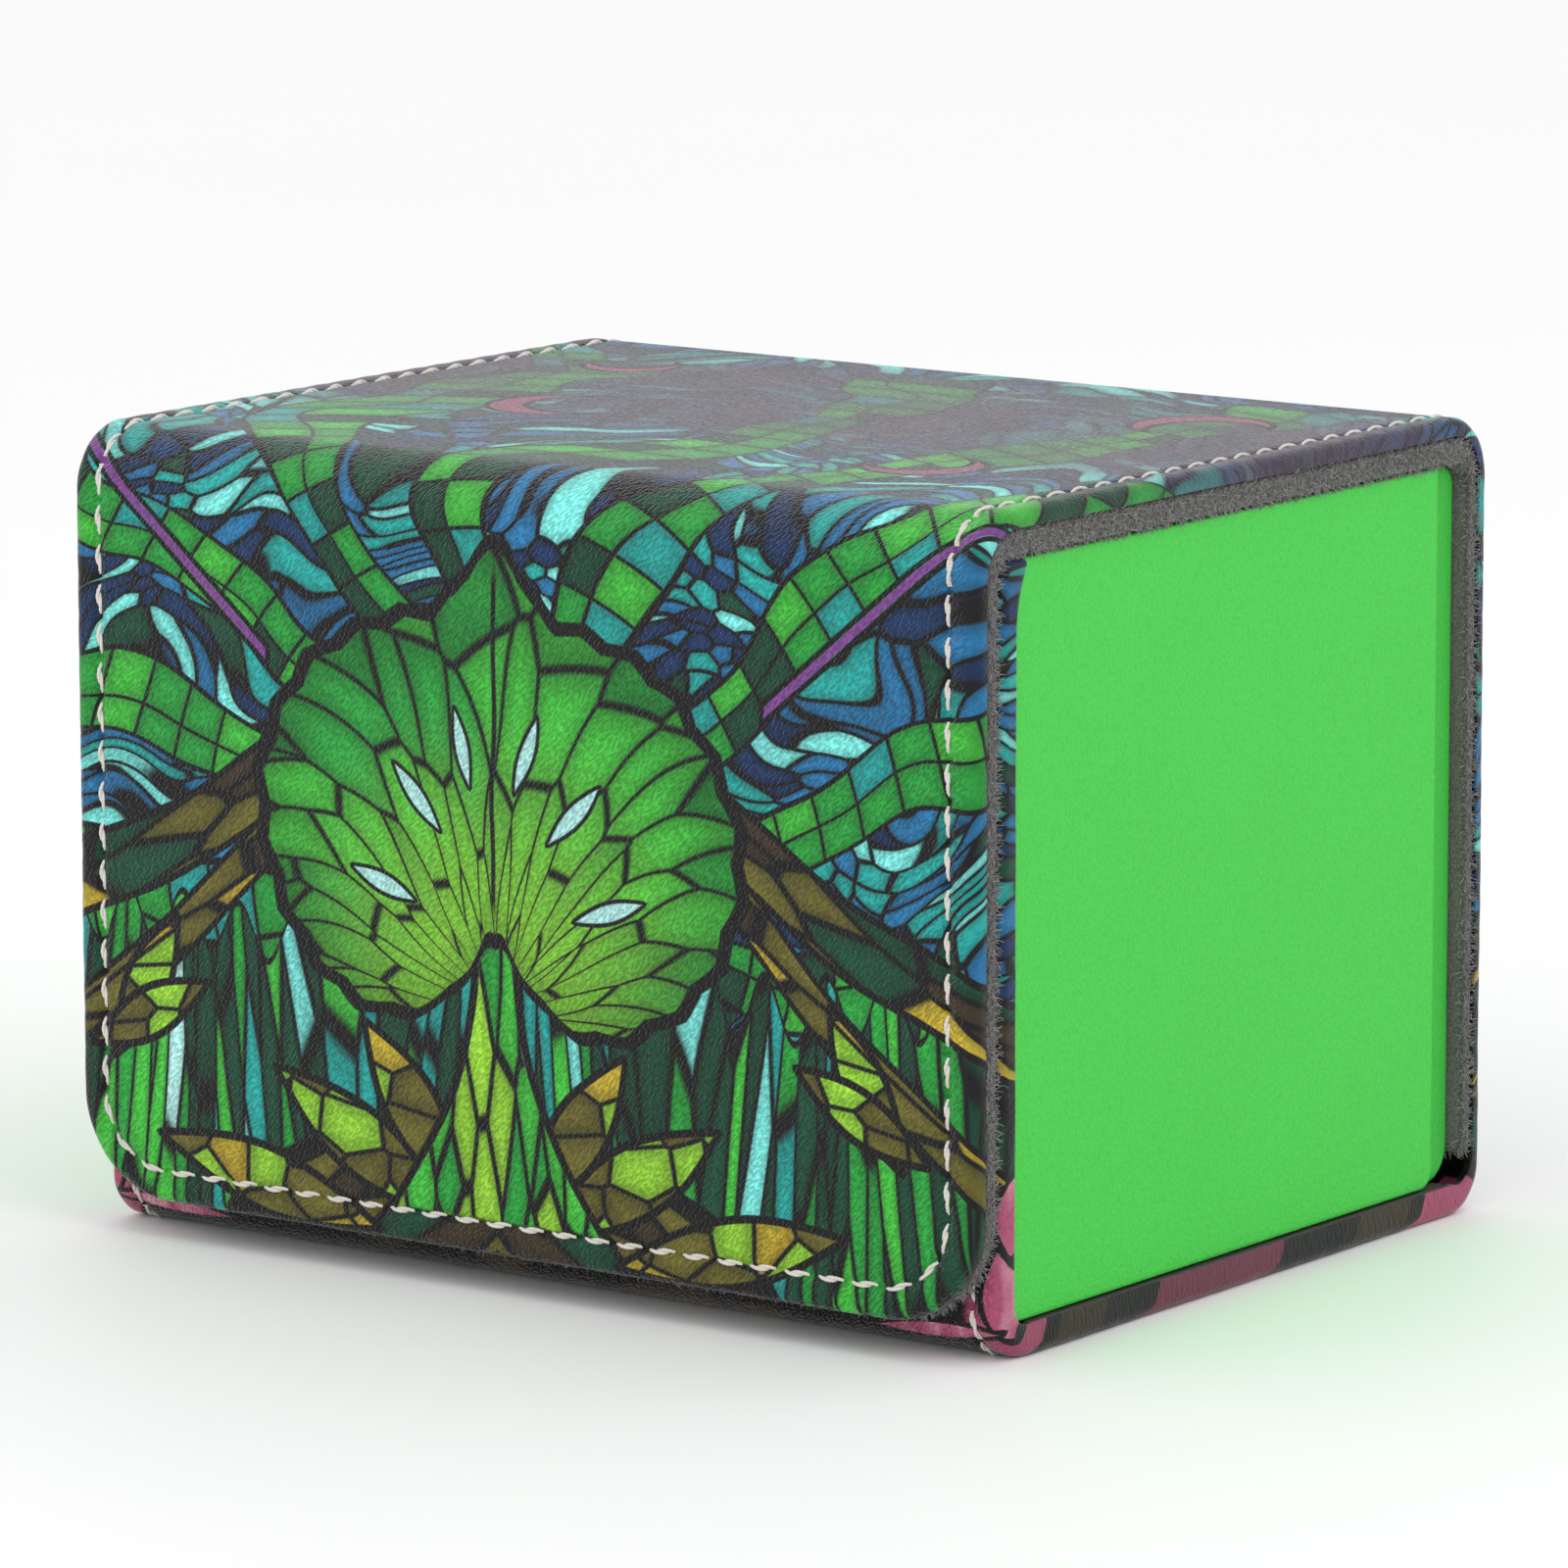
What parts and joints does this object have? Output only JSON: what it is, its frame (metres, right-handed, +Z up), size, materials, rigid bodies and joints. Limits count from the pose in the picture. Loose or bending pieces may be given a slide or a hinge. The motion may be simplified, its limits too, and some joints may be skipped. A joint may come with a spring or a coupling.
{
  "type": "card deck box",
  "caption": "Rectangular card deck box in printed artificial leather with a stitched edge, green end panels, grey lining, a hinged lid and a magnetic front flap.",
  "frame": {"origin": "Centre of the box's outline in plan, on the flat underside that it stands on.", "axes": "+X to the right along the front, +Y towards the back where the lid hinges, +Z up."},
  "size_m": [0.107, 0.0874, 0.0795],
  "materials": {
    "printed_leather": "satin, fine pebble grain, printed in stained glass colours with near-black outlines",
    "green_cover": "matt bright green, very fine grain",
    "microsuede": "matt grey nap with fuzzy cut edges",
    "paperboard": "matt",
    "magnet_plating": "nickel plated",
    "sewing_thread": "twisted off-white thread"
  },
  "bodies": {
    "base": {"base_leather": "printed_leather", "base_thread": "sewing_thread", "front_board": "paperboard", "bottom_board": "paperboard", "back_board": "paperboard", "back_lining": "microsuede", "tray_front": "green_cover", "tray_back": "green_cover", "tray_left": "green_cover", "tray_right": "green_cover", "tray_floor": "green_cover", "side_panel_left": "green_cover", "side_panel_right": "green_cover", "tray_lining_floor": "microsuede", "tray_lining_front": "microsuede", "tray_lining_back": "microsuede", "tray_lining_left": "microsuede", "tray_lining_right": "microsuede", "front_magnet_left": "magnet_plating", "front_magnet_right": "magnet_plating"},
    "lid": {"lid_leather": "printed_leather", "lid_board": "paperboard", "lid_lining": "microsuede", "lid_thread_left": "sewing_thread", "lid_thread_right": "sewing_thread"},
    "flap": {"flap_leather": "printed_leather", "flap_board": "paperboard", "flap_lining": "microsuede", "flap_magnet_left": "magnet_plating", "flap_magnet_right": "magnet_plating", "flap_thread": "sewing_thread"}
  },
  "joints": [
    {"name": "lid_hinge", "type": "hinge", "parent": "base", "child": "lid", "pos_m": [0, 0.04199, 0.07774], "axis": [-1, 0, 0], "range_deg": [0, 178]},
    {"name": "flap_hinge", "type": "hinge", "parent": "lid", "child": "flap", "pos_m": [0, -0.04185, 0.0776], "axis": [-1, 0, 0], "range_deg": [0, 178]}
  ]
}
